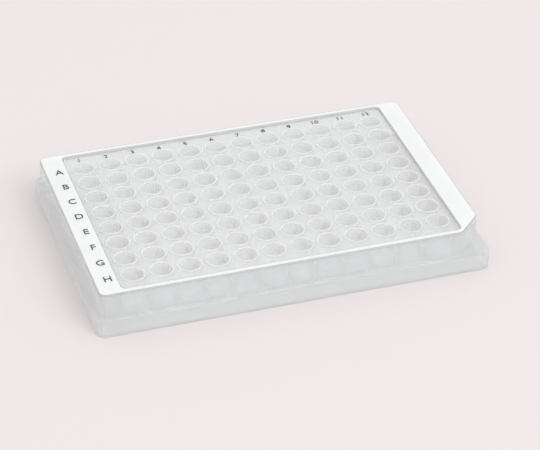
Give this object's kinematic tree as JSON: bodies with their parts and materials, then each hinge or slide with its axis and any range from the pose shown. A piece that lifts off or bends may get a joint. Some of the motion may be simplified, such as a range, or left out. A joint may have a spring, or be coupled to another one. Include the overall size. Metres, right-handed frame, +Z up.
{
  "type": "well plate",
  "caption": "Clear flat-bottomed laboratory microplate with a grid of round wells, a keyed corner and a flanged foot.",
  "frame": {"origin": "centre of the plate's foot, on the plane that it stands on", "axes": "+X from column 1 to column 12, along the long side; +Y from row H to row A; +Z up"},
  "size_m": [0.1278, 0.0854, 0.0143],
  "materials": {
    "clear_polystyrene": "clear moulded polystyrene, glossy on top and in the wells, slightly milky at the rim"
  },
  "bodies": {
    "root": {"plate": "clear_polystyrene"}
  },
  "joints": []
}
